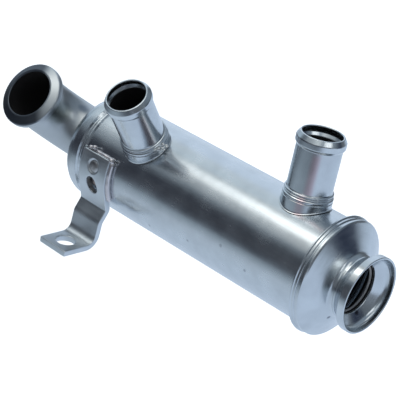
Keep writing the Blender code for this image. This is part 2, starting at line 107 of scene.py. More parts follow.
# Roundings, grooves and welds that the solids leave out
GROOVE_ROUND = 0.0001
TINY_ROUND = 0.0002
SMALL_ROUND = 0.00035
LIP_ROUND = 0.0004
BEAD_FOOT_ROUND = 0.0008
BEAD_ROUND = 0.0012
BRACKET_ROUND = 0.00045
FLANGE_BOWL_ROUND = 0.0034
FLANGE_HUB_GROOVE = 0.0009
CAP_GROOVE_BACK = 0.00165
CAP_GROOVE_DEPTH = 0.0006
CAP_GROOVE_HALF = 0.00065
CAP_GROOVE_FLOOR_HALF = 0.00025
NIPPLE_RAMP_TOP = 0.0034
NIPPLE_RAMP_FOOT = 0.0048
# where the painted shade inside the nipples stops, below their top
NIPPLE_SHADE_TOP = 0.0050
COLLAR_CUT = 0.00032
COLLAR_RING_BACK = 0.0014
COLLAR_FOOT_FILLET = 0.0005
BRAZE_FILLET = 0.0009
WELD_ROOT = 0.0002
WELD_RIPPLE = 0.00004
WELD_RIPPLE_PITCH = 0.0016
SEAM_LENGTH = 0.0040
SEAM_BULGE = 0.0011
NECK_WELD_BULGE = 0.0007

# Facets of the shown surface
SHELL_SIDES = 192
PIPE_SIDES = 128
NIPPLE_SIDES = 112
ARC_STEP = radians(14.0)
BEND_STEPS = 48
FILLET_STEPS = 5
SHELL_RING_PITCH = 0.0016

# Camera, at the photograph's viewing angle
CAMERA_AT = (0.41288, -0.41162, 0.29033)
CAMERA_TURN = (66.21292, -11.17055, 43.74407)
CAMERA_LENS = 121.81

FLOOR_HEIGHT = -0.12
FLOOR_RADIUS = 3.0

# Noise in the steel, per metre
GRAIN_SIZE = 1800.0
CLOUD_SIZE = 90.0
WAVE_SIZE = 130.0

QUARTER_TURN = radians(90.0)
SHARP_ANGLE = radians(38.0)
ALONG = Vector((1.0, 0.0, 0.0))
UP = (0.0, 0.0, 1.0)

# Stretches of the steel's grain
AROUND = (0.04, 0.04, 1.0)
UPWARDS = (1.0, 1.0, 0.05)
EVENLY = (1.0, 1.0, 1.0)

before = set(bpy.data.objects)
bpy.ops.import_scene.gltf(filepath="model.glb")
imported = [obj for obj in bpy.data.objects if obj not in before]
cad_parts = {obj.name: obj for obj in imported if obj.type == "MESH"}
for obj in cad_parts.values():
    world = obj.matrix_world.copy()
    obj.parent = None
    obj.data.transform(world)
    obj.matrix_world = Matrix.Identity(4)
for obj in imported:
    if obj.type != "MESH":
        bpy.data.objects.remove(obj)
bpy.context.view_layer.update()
shell_low, shell_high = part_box("shell_tube")
cap_low, cap_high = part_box("inlet_cap")
outlet_low, outlet_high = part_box("outlet_cap")
flange_low, flange_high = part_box("clamp_flange")

# The shell's axis, with its origin at the inlet cap's rim
AXIS = Vector((cap_high.x, (shell_low.y + shell_high.y) / 2.0, (shell_low.z + shell_high.z) / 2.0))
SHELL_RADIUS = (shell_high.y - shell_low.y) / 2.0
SHELL_START = shell_low.x - AXIS.x
SHELL_END = shell_high.x - AXIS.x
INLET_CAP_DEPTH = cap_high.x - cap_low.x
BAND_REAR = outlet_low.x - AXIS.x
BAND_FRONT = BAND_REAR + OUTLET_CAP_BAND
NECK_END = outlet_high.x - AXIS.x
NECK_START = NECK_END - NECK_LENGTH
FLANGE_REAR = NECK_END + FIT_GAP
FLANGE_FRONT = flange_high.x - AXIS.x
FLANGE_RIM_RADIUS = (flange_high.z - flange_low.z) / 2.0
BORE_EDGE = FLANGE_FRONT - FLANGE_SEAT_DEPTH
FLANGE_LEDGE = BORE_EDGE - FLANGE_LEDGE_DEPTH
SKIRT_INNER = SHELL_RADIUS + FIT_GAP
bracket_low, bracket_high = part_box("mounting_bracket")
BRACKET_LEFT = bracket_low.x - AXIS.x
BRACKET_RIGHT = bracket_high.x - AXIS.x
BRACKET_CENTRE = (BRACKET_LEFT + BRACKET_RIGHT) / 2.0
FOOT_TOP = bracket_low.z + BRACKET_THICKNESS - AXIS.z
FOOT_TIP = bracket_low.y - AXIS.y
# Local +Z runs along the shell's axis, from the inlet cap's rim
AXIAL = Matrix.Translation(AXIS) @ Matrix.Rotation(QUARTER_TURN, 4, "Y")
NIPPLE_TOP = SHELL_RADIUS + NIPPLE_HEIGHT
COLLAR_TOP = SHELL_RADIUS + COLLAR_HEIGHT


def clocked(angle):
    """The direction at this angle from +Z, turning towards -Y."""
    return Vector((0.0, -sin(angle), cos(angle)))


def radial_placement(at, clock):
    """Local +Z points outwards from the shell's axis and local +X runs along it."""
    outwards = clocked(clock)
    turn = Matrix((ALONG, outwards.cross(ALONG), outwards)).transposed().to_4x4()
    return Matrix.Translation(AXIS + ALONG * at) @ turn


def even_steps(first, last, count):
    return [first + (last - first) * i / count for i in range(count + 1)]


def round_angles(count):
    return [2.0 * pi * i / count for i in range(count)]


def node_middle(name):
    low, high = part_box(name)
    return (low + high) / 2.0


def new_object(name, data, placement):
    made = bpy.data.objects.new(name, data)
    bpy.context.scene.collection.objects.link(made)
    made.matrix_world = placement
    return made


def show(name, mesh, placement, material, *nodes, slot="satin_stainless"):
    """A shown piece that stands for these nodes of the frame."""
    piece = new_object(name, mesh, placement)
    mesh.materials.append(material)
    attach(piece, "root")
    if nodes:
        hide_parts(*nodes)
    return piece


def finish_mesh(name, body):
    """Turns the faces outwards and shades them smooth but for the sharp edges."""
    bmesh.ops.recalc_face_normals(body, faces=body.faces)
    mesh = bpy.data.meshes.new(name)
    body.to_mesh(mesh)
    body.free()
    mesh.shade_smooth()
    mesh.set_sharp_from_angle(angle=SHARP_ANGLE)
    return mesh


def even_shading(piece):
    """Keeps broad faces evenly shaded beside narrow roundings."""
    modifier = piece.modifiers.new("even_shading", "WEIGHTED_NORMAL")
    modifier.keep_sharp = True
    modifier.weight = 90


def wall(body, near, far):
    """Faces between two rings of the same number of vertices."""
    count = len(near)
    for i in range(count):
        j = (i + 1) % count
        body.faces.new((near[i], near[j], far[j], far[i]))


def loft(name, loops, ring_shaped=True):
    """A closed body whose wall runs through the loops, and back to the first or capped."""
    body = bmesh.new()
    rings = [[body.verts.new(point) for point in loop] for loop in loops]
    for near, far in zip(rings, rings[1:]):
        wall(body, near, far)
    if ring_shaped:
        wall(body, rings[-1], rings[0])
    else:
        body.faces.new(rings[0])
        body.faces.new(rings[-1])
    return finish_mesh(name, body)


def arc(before, corner, after, radius):
    """Points of the arc that rounds the corner between two straight lines."""
    towards = (before - corner).normalized()
    away = (after - corner).normalized()
    half = towards.angle(away) / 2.0
    turn = pi - 2.0 * half
    steps = max(2, ceil(turn / ARC_STEP))
    reach = radius / tan(half)
    centre = corner + (towards + away).normalized() * (radius / sin(half))
    start = (corner + towards * reach - centre).normalized()
    end = (corner + away * reach - centre).normalized()
    return [centre + start.slerp(end, i / steps) * radius for i in range(steps + 1)]


def rounded(corners):
    """The closed outline of (radius, height, rounding) corners, each rounded by its arc."""
    points = [Vector(corner[:2]) for corner in corners]
    outline = []
    for i, corner in enumerate(corners):
        if len(corner) == 2:
            outline.append(points[i])
        else:
            outline += arc(points[i - 1], points[i], points[(i + 1) % len(points)], corner[2])
    return outline


def offset_line(points, distance):
    """The open outline moved sideways by the same distance all along, to the left of its run."""
    moved = []
    for i, point in enumerate(points):
        before = points[max(i - 1, 0)]
        after = points[min(i + 1, len(points) - 1)]
        runs = [b - a for a, b in ((before, point), (point, after)) if (b - a).length > 0.0]
        normals = [Vector((-run.y, run.x)).normalized() for run in runs]
        mean = (normals[0] + normals[-1]).normalized()
        moved.append(point + mean * (distance / mean.dot(normals[0])))
    return moved


def turned(name, outline, sides):
    """The closed outline turned about local +Z."""
    loops = []
    for radius, height, *_ in outline:
        loops.append([(radius * cos(a), radius * sin(a), height) for a in round_angles(sides)])
    return loft(name, loops)


def show_turned(name, outline, sides, placement, material, *nodes):
    """A piece of satin steel turned about local +Z, that stands for these nodes."""
    mesh = turned(name, outline, sides)
    even_shading(show(name, mesh, placement, material, *nodes))


def cut_with(piece, cutter):
    """Cuts the cutter's form out of the piece's mesh and removes the cutter."""
    modifier = piece.modifiers.new("cut", "BOOLEAN")
    modifier.operation = "DIFFERENCE"
    modifier.solver = "EXACT"
    modifier.object = cutter
    bpy.context.view_layer.update()
    graph = bpy.context.evaluated_depsgraph_get()
    mesh = bpy.data.meshes.new_from_object(piece.evaluated_get(graph))
    old = piece.data
    piece.modifiers.clear()
    piece.data = mesh
    bpy.data.meshes.remove(old)
    mesh.shade_smooth()
    mesh.set_sharp_from_angle(angle=SHARP_ANGLE)
    bpy.data.objects.remove(cutter)


def cylinder_cutter(radius, low, high, sides, placement):
    body = bmesh.new()
    bmesh.ops.create_cone(
        body, cap_ends=True, segments=sides, radius1=radius, radius2=radius, depth=high - low,
        matrix=Matrix.Translation((0.0, 0.0, (low + high) / 2.0)),
    )
    return new_object("cutter", finish_mesh("cutter", body), placement)


def feed(tree, socket, value):
    if isinstance(value, bpy.types.NodeSocket):
        tree.links.new(value, socket)
    else:
        socket.default_value = value


def add_node(tree, kind, **inputs):
    """A node with these values or links in its named inputs."""
    node = tree.nodes.new("ShaderNode" + kind)
    for name, value in inputs.items():
        feed(tree, node.inputs[name], value)
    return node


def calculate(tree, operation, *values):
    node = add_node(tree, "Math")
    node.operation = operation
    for socket, value in zip(node.inputs, values):
        feed(tree, socket, value)
    return node.outputs[0]


def times(tree, first, second):
    return calculate(tree, "MULTIPLY", first, second)


def hypotenuse(tree, *sides):
    """The length of the line across two sides that stand at right angles."""
    squares = [calculate(tree, "POWER", side, 2.0) for side in sides]
    return calculate(tree, "SQRT", calculate(tree, "ADD", *squares))


def spread(tree, value, low, high, to_low, to_high):
    """The value mapped from one range to another, clamped, with soft ends."""
    node = add_node(tree, "MapRange")
    node.interpolation_type = "SMOOTHSTEP"
    for socket, item in zip(node.inputs, (value, low, high, to_low, to_high)):
        feed(tree, socket, item)
    return node.outputs[0]


def ramp(tree, value, stops):
    """A colour ramp with (place, colour) stops."""
    node = add_node(tree, "ValToRGB")
    elements = node.color_ramp.elements
    elements[0].position, elements[0].color = stops[0][0], (*stops[0][1], 1.0)
    elements[1].position, elements[1].color = stops[-1][0], (*stops[-1][1], 1.0)
    for place, colour in stops[1:-1]:
        elements.new(place).color = (*colour, 1.0)
    feed(tree, node.inputs[0], value)
    return node.outputs[0]


def blend_colour(tree, share, first, second):
    node = add_node(tree, "Mix")
    node.data_type = "RGBA"
    feed(tree, node.inputs[0], share)
    feed(tree, node.inputs[6], first)
    feed(tree, node.inputs[7], second)
    return node.outputs[2]


def stretched_noise(tree, coordinates, scale, size, detail, roughness=0.5):
    """Noise of this size (1/m), after the coordinates are stretched by the scale."""
    mapping = add_node(tree, "Mapping", Scale=scale, Vector=coordinates)
    node = add_node(
        tree, "TexNoise", Vector=mapping.outputs[0], Scale=size, Detail=detail, Roughness=roughness
    )
    return node.outputs["Fac"]


def dot_with(tree, vector, direction):
    node = add_node(tree, "VectorMath")
    node.operation = "DOT_PRODUCT"
    tree.links.new(vector, node.inputs[0])
    node.inputs[1].default_value = direction
    return node.outputs["Value"]


def below(tree, value, limit, soft):
    """1 below the limit and 0 above it, with a soft edge."""
    return spread(tree, value, limit - soft, limit + soft, 1.0, 0.0)


def between(tree, value, low, high, soft):
    """1 from low to high and 0 outside, with soft ends."""
    return times(tree, spread(tree, value, low - soft, low + soft, 0.0, 1.0), below(tree, value, high, soft))


def inside_tube(tree, place, radius, low, high):
    """1 nearer than this radius to local +Z, between two heights."""
    away = hypotenuse(tree, dot_with(tree, place, ALONG), dot_with(tree, place, (0.0, 1.0, 0.0)))
    heights = between(tree, dot_with(tree, place, UP), low, high, 0.0003)
    return times(tree, below(tree, away, radius, 0.00005), heights)


def inside_elbow(tree, place, towards_centre, sideways, top):
    """1 on the inside of the elbow, whose bend ends at local height 0, below this height."""
    inwards = dot_with(tree, place, towards_centre)
    height = dot_with(tree, place, UP)
    from_centre = calculate(tree, "SUBTRACT", PIPE_BEND_RADIUS, inwards)
    ring = hypotenuse(tree, from_centre, calculate(tree, "MINIMUM", height, 0.0))
    off_line = calculate(tree, "SUBTRACT", ring, PIPE_BEND_RADIUS)
    away = hypotenuse(tree, off_line, dot_with(tree, place, sideways))
    within = below(tree, away, PIPE_RADIUS - PIPE_WALL / 2.0, 0.0001)
    return times(tree, within, below(tree, height, top, 0.0003))


def near_spot(tree, place, spot, size):
    """1 at this spot and 0 farther from it than this size, with a ragged edge."""
    offset = add_node(tree, "VectorMath")
    offset.operation = "DISTANCE"
    tree.links.new(place, offset.inputs[0])
    offset.inputs[1].default_value = spot
    ragged = times(tree, stretched_noise(tree, place, EVENLY, 1.5 / size, 2.0), size * 0.5)
    away = calculate(tree, "ADD", offset.outputs["Value"], ragged)
    return spread(tree, away, size * 0.55, size * 1.2, 1.0, 0.0)


def streak(tree, place, angle, width, low, high):
    """1 along a line up the side of a tube about local +Z."""
    side = (-sin(angle), cos(angle), 0.0)
    front = (cos(angle), sin(angle), 0.0)
    across = between(tree, dot_with(tree, place, side), -width, width, width * 0.8)
    facing = calculate(tree, "GREATER_THAN", dot_with(tree, place, front), 0.0)
    height = between(tree, dot_with(tree, place, UP), low, high, 0.002)
    return times(tree, times(tree, across, facing), height)


def shaded_mouth(tree, place, bright_side, low):
    """Painted shade: 1 on the elbow's mouth but for the part of its bead that faces the bright side."""
    away = spread(tree, dot_with(tree, place, bright_side), 0.0050, 0.0105, 1.0, 0.0)
    above = spread(tree, dot_with(tree, place, UP), low, low + 0.0008, 0.0, 1.0)
    return times(tree, away, above)


def steel(name, colour, roughness, brushing, lines, stains_and_shade=(), painted_shade=()):
    """Satin stainless steel.

    brushing stretches the grain: small in the direction that the lines run in. lines is how
    strongly they show. stains_and_shade and painted_shade are (colour, share, mask, its
    settings): stains_and_shade holds stained spots and streaks and, on the elbow, painted shade;
    painted_shade is painted shade inside the bores, which dulls the metal too.
    """
    material = bpy.data.materials.new(name)
    material.use_nodes = True
    tree = material.node_tree
    shader = tree.nodes["Principled BSDF"]
    shader.inputs["Metallic"].default_value = 1.0
    place = add_node(tree, "TexCoord").outputs["Object"]
    grain = stretched_noise(tree, place, brushing, GRAIN_SIZE, 3.0, 0.6)
    clouds = stretched_noise(tree, place, EVENLY, CLOUD_SIZE, 2.0)
    waves = stretched_noise(tree, place, EVENLY, WAVE_SIZE, 1.0)
    darker = tuple(c * 0.90 for c in colour)
    lighter = tuple(min(1.0, c * 1.06) for c in colour)
    tint = ramp(tree, clouds, [(0.30, darker), (0.70, lighter)])
    rough_clouds = spread(tree, clouds, 0.25, 0.75, roughness * 0.88, roughness * 1.14)
    rough_lines = spread(tree, grain, 0.3, 0.7, -0.04 * lines, 0.05 * lines)
    rough = calculate(tree, "ADD", rough_clouds, rough_lines)
    # stains_and_shade: stained spots and streaks, and on the elbow painted shade
    for mark_colour, share, mask_of, *settings in stains_and_shade:
        mask = times(tree, mask_of(tree, place, *settings), share)
        tint = blend_colour(tree, mask, tint, (*mark_colour, 1.0))
    metallic = 1.0
    # painted_shade: painted shade inside the bores, darker, duller and rougher
    for shade_colour, share, mask_of, *settings in painted_shade:
        mask = times(tree, mask_of(tree, place, *settings), share)
        tint = blend_colour(tree, mask, tint, (*shade_colour, 1.0))
        metallic = calculate(tree, "SUBTRACT", metallic, times(tree, mask, 0.8))
        rough = calculate(tree, "ADD", rough, times(tree, mask, 0.35))
    feed(tree, shader.inputs["Metallic"], metallic)
    tree.links.new(tint, shader.inputs["Base Color"])
    tree.links.new(rough, shader.inputs["Roughness"])
    fine = add_node(tree, "Bump", Strength=0.10 * lines, Distance=0.00005, Height=grain)
    broad = add_node(
        tree, "Bump", Strength=0.12, Distance=0.0004, Height=waves, Normal=fine.outputs["Normal"]
    )
    tree.links.new(broad.outputs["Normal"], shader.inputs["Normal"])
    return material


def build_shell():
    inner = SHELL_RADIUS - SHELL_WALL
    rings = ceil((SHELL_END - SHELL_START) / SHELL_RING_PITCH)
    outline = [(SHELL_RADIUS, height) for height in even_steps(SHELL_END, SHELL_START, rings)]
    outline += [(inner, SHELL_START), (inner, SHELL_END)]
    mesh = turned("shell_skin", outline, SHELL_SIDES)
    shell = show(
        "shell_skin", mesh, AXIAL, shell_steel, "shell_tube", slot="shell_stainless"
    )
    for at, clock in ports:
        port = cylinder_cutter(
            NIPPLE_RADIUS - NIPPLE_WALL, 0.0, SHELL_RADIUS * 1.5, NIPPLE_SIDES, radial_placement(at, clock)
        )
        cut_with(shell, port)
    even_shading(shell)


def build_inlet_cap():
    hole = PIPE_RADIUS + FIT_GAP
    rim = Vector((SKIRT_INNER + INLET_CAP_WALL, 0.0))
    corner = Vector((rim.x, -INLET_CAP_DEPTH))
    edge = Vector((hole, -INLET_CAP_DEPTH))
    outside = [rim] + arc(rim, corner, edge, INLET_CAP_CORNER) + [edge]
    inside = offset_line(outside, -INLET_CAP_WALL)
    outline = outside + inside[::-1]
    show_turned("inlet_cap_skin", outline, SHELL_SIDES, AXIAL, cap_steel, "inlet_cap")


def build_outlet_cap():
    band = SKIRT_INNER + OUTLET_CAP_WALL
    neck_end = Vector((NECK_RADIUS, NECK_END))
    neck_start = Vector((NECK_RADIUS, NECK_START))
    cone_end = Vector((band - BELL_EDGE, BAND_FRONT + BELL_EDGE_LENGTH))
    bell = [neck_end] + arc(neck_end, neck_start, cone_end, BELL_FILLET_RADIUS) + [cone_end]
    groove = BAND_FRONT - CAP_GROOVE_BACK
    groove_floor = band - CAP_GROOVE_DEPTH
    flare = band + OUTLET_CAP_FLARE
    skirt = rounded([
        tuple(bell[-2]),
        (cone_end.x, cone_end.y, 0.0006),
        (band, BAND_FRONT, LIP_ROUND),
        (band, groove + CAP_GROOVE_HALF, TINY_ROUND),
        (groove_floor, groove + CAP_GROOVE_FLOOR_HALF, TINY_ROUND),
        (groove_floor, groove - CAP_GROOVE_FLOOR_HALF, TINY_ROUND),
        (band, groove - CAP_GROOVE_HALF, TINY_ROUND),
        (band, BAND_REAR + 0.0010, 0.0003),
        (flare, BAND_REAR + 0.0006, TINY_ROUND),
        (flare, BAND_REAR, TINY_ROUND),
        (SKIRT_INNER + OUTLET_CAP_FLARE, BAND_REAR),
        (SKIRT_INNER, SHELL_END),
    ])[1:]
    outline = bell[:-1] + skirt + offset_line(bell, -OUTLET_CAP_WALL)[::-1]
    show_turned("outlet_cap_skin", outline, SHELL_SIDES, AXIAL, cap_steel, "outlet_cap")


def build_clamp_flange():
    rim_inner = FLANGE_RIM_RADIUS - FLANGE_RIM_WALL
    rim_root = FLANGE_FRONT - FLANGE_RIM_LENGTH
    spigot_outer = NECK_RADIUS - OUTLET_CAP_WALL - FIT_GAP
    spigot_end = FLANGE_REAR - SPIGOT_LENGTH
    step = FLANGE_FRONT - FLANGE_STEP_BACK
    groove = step - FLANGE_HUB_GROOVE
    outline = rounded([
        (FLANGE_RIM_RADIUS, FLANGE_FRONT, LIP_ROUND),
        (FLANGE_RIM_RADIUS, rim_root, SMALL_ROUND),
        (FLANGE_STEP_RADIUS, step, SMALL_ROUND),
        (FLANGE_STEP_RADIUS - 0.0008, groove, TINY_ROUND),
        (FLANGE_STEP_RADIUS - 0.0012, groove, GROOVE_ROUND),
        (NECK_RADIUS, FLANGE_REAR + FLANGE_HUB_LENGTH, SMALL_ROUND),
        (NECK_RADIUS, FLANGE_REAR),
        (spigot_outer, FLANGE_REAR),
        (spigot_outer, spigot_end),
        (spigot_outer - SPIGOT_WALL, spigot_end),
        (FLANGE_BORE_RADIUS - 0.0006, FLANGE_LEDGE, TINY_ROUND),
        (FLANGE_BORE_RADIUS, FLANGE_LEDGE, TINY_ROUND),
        (FLANGE_BORE_RADIUS, BORE_EDGE, 0.0006),
        (rim_inner, rim_root, FLANGE_BOWL_ROUND),
        (rim_inner, FLANGE_FRONT, LIP_ROUND),
    ])
    show_turned("clamp_flange_skin", outline, SHELL_SIDES, AXIAL, flange_steel, "clamp_flange")


def elbow_line():
    """(place, direction) along the elbow's centre line, and where its bend ends."""
    back = Vector((-1.0, 0.0, 0.0))
    out = clocked(PIPE_CLOCK)
    face = AXIS + back * INLET_CAP_DEPTH
    start = face + back * PIPE_BEFORE_BEND
    line = [(face - back * PIPE_INSIDE_CAP, back), (face - back * FIT_GAP, back)]
    for i in range(BEND_STEPS + 1):
        angle = QUARTER_TURN * i / BEND_STEPS
        along = back * sin(angle) + out * (1.0 - cos(angle))
        line.append((start + along * PIPE_BEND_RADIUS, back * cos(angle) + out * sin(angle)))
    return line, start + (back + out) * PIPE_BEND_RADIUS, out


def build_elbow():
    line, bend_end, out = elbow_line()
    bead_front = PIPE_AFTER_BEND - PIPE_BEAD_RAMP
    bead_rear = bead_front - PIPE_BEAD_LAND
    bead = PIPE_RADIUS + PIPE_BEAD_HEIGHT
    lip = PIPE_RADIUS - PIPE_LIP_DRAWN_IN
    mouth = rounded([
        (PIPE_RADIUS, 0.0),
        (PIPE_RADIUS, bead_rear - PIPE_BEAD_RAMP, BEAD_FOOT_ROUND),
        (bead, bead_rear, BEAD_ROUND),
        (bead, bead_front, BEAD_ROUND),
        (lip, PIPE_AFTER_BEND, LIP_ROUND),
        (lip - PIPE_WALL, PIPE_AFTER_BEND, LIP_ROUND),
        (PIPE_RADIUS - PIPE_WALL, bead_front, BEAD_FOOT_ROUND),
        (PIPE_RADIUS - PIPE_WALL, 0.0),
    ])
    stations = [(place, direction, PIPE_RADIUS) for place, direction in line[:-1]]
    stations += [(bend_end + out * height, out, radius) for radius, height in mouth]
    stations += [(place, direction, PIPE_RADIUS - PIPE_WALL) for place, direction in line[-2::-1]]
    across = ALONG.cross(out)
    angles = round_angles(PIPE_SIDES)
    loops = []
    for place, direction, radius in stations:
        other = direction.cross(across)
        loops.append([place + (across * cos(a) + other * sin(a)) * radius for a in angles])
    mesh = loft("inlet_elbow_skin", loops)
    mesh.transform(ELBOW_FRAME.inverted())
    even_shading(show("inlet_elbow_skin", mesh, ELBOW_FRAME, elbow_steel, "inlet_elbow"))


def build_nipple(name, at, clock):
    bead = NIPPLE_RADIUS + NIPPLE_BEAD_HEIGHT
    lip = NIPPLE_RADIUS - NIPPLE_LIP_DRAWN_IN
    bead_low = NIPPLE_TOP - NIPPLE_BEAD_LENGTH
    root = SHELL_RADIUS + NIPPLE_ROOT_HEIGHT
    outline = rounded([
        (lip, NIPPLE_TOP, LIP_ROUND),
        (bead, NIPPLE_TOP - NIPPLE_LIP_RAMP, BEAD_ROUND),
        (bead, bead_low + NIPPLE_BEAD_RAMP, BEAD_FOOT_ROUND),
        (NIPPLE_RADIUS, bead_low, 0.0006),
        (NIPPLE_RADIUS, root),
        (NIPPLE_RADIUS - NIPPLE_WALL, root),
        (NIPPLE_RADIUS - NIPPLE_WALL, NIPPLE_TOP - NIPPLE_RAMP_FOOT, 0.0006),
        (bead - NIPPLE_WALL, NIPPLE_TOP - NIPPLE_RAMP_TOP, 0.0005),
        (bead - NIPPLE_WALL, NIPPLE_TOP - NIPPLE_LIP_RAMP, 0.0005),
        (lip - NIPPLE_WALL, NIPPLE_TOP, LIP_ROUND),
    ])
    show_turned(
        name + "_nipple_skin", outline, NIPPLE_SIDES, radial_placement(at, clock), nipple_steels[name],
        name + "_nipple",
    )


def build_collar(name, at, clock):
    """A collar cut to the shell's curve, with a small braze fillet at its foot."""
    bore = NIPPLE_RADIUS + FIT_GAP
    outer = bore + COLLAR_WALL
    groove = outer - COLLAR_GROOVE_DEPTH
    crest = groove + 0.0001
    groove_low = COLLAR_TOP - COLLAR_GROOVE_LENGTH
    middle = (COLLAR_TOP + groove_low) / 2.0
    ring = groove_low - COLLAR_RING_BACK
    upper = rounded([
        (NIPPLE_RADIUS - 0.0001, COLLAR_TOP + 0.0009),
        (NIPPLE_RADIUS + 0.0003, COLLAR_TOP + 0.0001, LIP_ROUND),
        (crest, COLLAR_TOP, LIP_ROUND),
        (crest, middle + COLLAR_CUT, TINY_ROUND),
        (groove - COLLAR_CUT, middle, GROOVE_ROUND),
        (crest, middle - COLLAR_CUT, TINY_ROUND),
        (crest, groove_low + COLLAR_CUT, TINY_ROUND),
        (groove - COLLAR_CUT, groove_low, GROOVE_ROUND),
        (outer, groove_low - 0.0005, 0.0003),
        (outer, ring, TINY_ROUND),
        (outer - COLLAR_CUT, ring - COLLAR_CUT, GROOVE_ROUND),
        (outer, ring - 2.0 * COLLAR_CUT, GROOVE_ROUND),
        (outer, 0.0),
        (bore, 0.0),
    ])[:-2]
    angles = round_angles(NIPPLE_SIDES)

    def saddle(radius, angle, above):
        reach = radius * sin(angle)
        height = sqrt(SKIRT_INNER ** 2 - reach ** 2) + above
        return (radius * cos(angle), reach, height)

    loops = [[(r * cos(a), r * sin(a), h) for a in angles] for r, h in upper]
    for step in range(FILLET_STEPS + 1):
        turn = QUARTER_TURN * step / FILLET_STEPS
        radius = outer + COLLAR_FOOT_FILLET * (1.0 - cos(turn))
        above = COLLAR_FOOT_FILLET * (1.0 - sin(turn))
        loops.append([saddle(radius, a, above) for a in angles])
    loops.append([saddle(bore, a, 0.0) for a in angles])
    mesh = loft(name + "_collar_skin", loops)
    placement = radial_placement(at, clock)
    even_shading(show(name + "_collar_skin", mesh, placement, collar_steels[name], name + "_collar"))


def ripple(mesh, height, pitch):
    """Moves the skin in and out a little, as the beads of a weld do."""
    for vertex in mesh.vertices:
        vertex.co += vertex.normal * (noise.noise(vertex.co / pitch) * height)


def show_weld(name, outline, sides, height):
    """A weld round the shell's axis."""
    mesh = turned(name, rounded(outline), sides)
    ripple(mesh, height, WELD_RIPPLE_PITCH)
    show(name, mesh, AXIAL, weld_steel)


def build_seam_weld():
    """The weld in two passes that joins the inlet cap's rim to the shell."""
    outline = [
        (SHELL_RADIUS - WELD_ROOT, 0.0),
        (SHELL_RADIUS + SEAM_BULGE, 0.0),
        (SHELL_RADIUS + 0.0001, 0.0008, TINY_ROUND),
        (SHELL_RADIUS + 0.0009, 0.0015, 0.0003),
        (SHELL_RADIUS + 0.0002, 0.0021, TINY_ROUND),
        (SHELL_RADIUS + SEAM_BULGE, 0.0029, 0.0005),
        (SHELL_RADIUS, SEAM_LENGTH),
        (SHELL_RADIUS - WELD_ROOT, SEAM_LENGTH),
    ]
    show_weld("inlet_seam_weld", outline, SHELL_SIDES * 2, WELD_RIPPLE * 1.25)


def build_neck_weld():
    """The weld that joins the bell's neck to the clamp flange."""
    root = NECK_RADIUS - WELD_ROOT
    bulge = NECK_RADIUS + NECK_WELD_BULGE
    outline = [
        (root, NECK_END - 0.0008),
        (bulge, NECK_END - 0.0003, LIP_ROUND),
        (bulge, FLANGE_REAR + 0.0004, LIP_ROUND),
        (root, FLANGE_REAR + 0.0008),
    ]
    show_weld("neck_weld", outline, SHELL_SIDES, WELD_RIPPLE)


def blob(name, place, radius, flatness, outwards, material):
    """A lump of braze on a surface that faces outwards."""
    body = bmesh.new()
    bmesh.ops.create_icosphere(body, subdivisions=4, radius=1.0)
    mesh = finish_mesh(name, body)
    ripple(mesh, 0.35, 0.9)
    turn = outwards.to_track_quat("Z", "Y").to_matrix().to_4x4()
    size = Matrix.Diagonal((radius, radius * 0.8, radius * flatness, 1.0))
    mesh.transform(turn @ size)
    show(name, mesh, Matrix.Translation(place), material)


def braze_run(name, places, radius):
    """A run of braze along these places, tapered at both ends."""
    loops = []
    sides = 14
    for i, place in enumerate(places):
        before = places[max(i - 1, 0)]
        after = places[min(i + 1, len(places) - 1)]
        along = (after - before).normalized()
        away = (place - AXIS).cross(ALONG).cross(ALONG).normalized()
        side = along.cross(away).normalized()
        away = side.cross(along)
        end = min(i, len(places) - 1 - i)
        size = radius * min(1.0, 0.35 + end * 0.25) * (1.0 + 0.16 * noise.noise(place * 400.0))
        loops.append([
            place + (side * cos(a) + away * sin(a)) * size for a in round_angles(sides)
        ])
    mesh = loft(name, loops, ring_shaped=False)
    ripple(mesh, WELD_RIPPLE, WELD_RIPPLE_PITCH)
    show(name, mesh, Matrix.Identity(4), braze_steel)


def on_shell(at, clock, height):
    return AXIS + Vector((at, 0.0, 0.0)) + clocked(clock) * (SHELL_RADIUS + height)


def bracket_path():
    """(place in y and z, way out of the face, distance) along the bracket's outer face."""
    radius = SKIRT_INNER + BRACKET_THICKNESS
    saddle_end = Vector((-sin(BRACKET_LEAVE_CLOCK), cos(BRACKET_LEAVE_CLOCK))) * radius
    onwards = Vector((-cos(BRACKET_LEAVE_CLOCK), -sin(BRACKET_LEAVE_CLOCK)))
    crease = saddle_end + onwards * BRACKET_STRAIGHT
    knee_way = Vector((-sin(BRACKET_KNEE_LEAN), -cos(BRACKET_KNEE_LEAN)))
    knee = crease + knee_way * BRACKET_KNEE_LENGTH
    heel = Vector((knee.x + (FOOT_TOP - knee.y) * tan(BRACKET_LEG_LEAN), FOOT_TOP))
    tip = Vector((FOOT_TIP, FOOT_TOP))
    points = [
        Vector((-sin(clock), cos(clock))) * radius
        for clock in even_steps(BRACKET_TOP_CLOCK, BRACKET_LEAVE_CLOCK, 24)
    ]
    for before, corner, after, round_off in (
        (saddle_end, crease, knee, BRACKET_CREASE_RADIUS),
        (crease, knee, heel, BRACKET_KNEE_RADIUS),
        (knee, heel, tip, BRACKET_FOOT_RADIUS),
    ):
        points += arc(before, corner, after, round_off)
    points.append(tip)
    path = []
    distance = 0.0
    for i, point in enumerate(points):
        run_in = point - points[i - 1] if i else points[1] - point
        run_out = points[i + 1] - point if i + 1 < len(points) else run_in
        distance += run_in.length if i else 0.0
        along = (run_in.normalized() + run_out.normalized()).normalized()
        path.append((point, Vector((along.y, -along.x)), distance))
    return path


def bend(path, flat, depth):
    """The place in the frame of a point on the flat strip, this far under its outer face."""
    along = min(max(flat.x, 0.0), path[-1][2])
    i = next(k for k in range(1, len(path)) if along <= path[k][2] + 1e-9)
    start, end = path[i - 1], path[i]
    share = (along - start[2]) / (end[2] - start[2])
    place = start[0].lerp(end[0], share)
    out = start[1].lerp(end[1], share).normalized()
    place = place - out * depth
    return AXIS + Vector((BRACKET_CENTRE + flat.y, place.x, place.y))


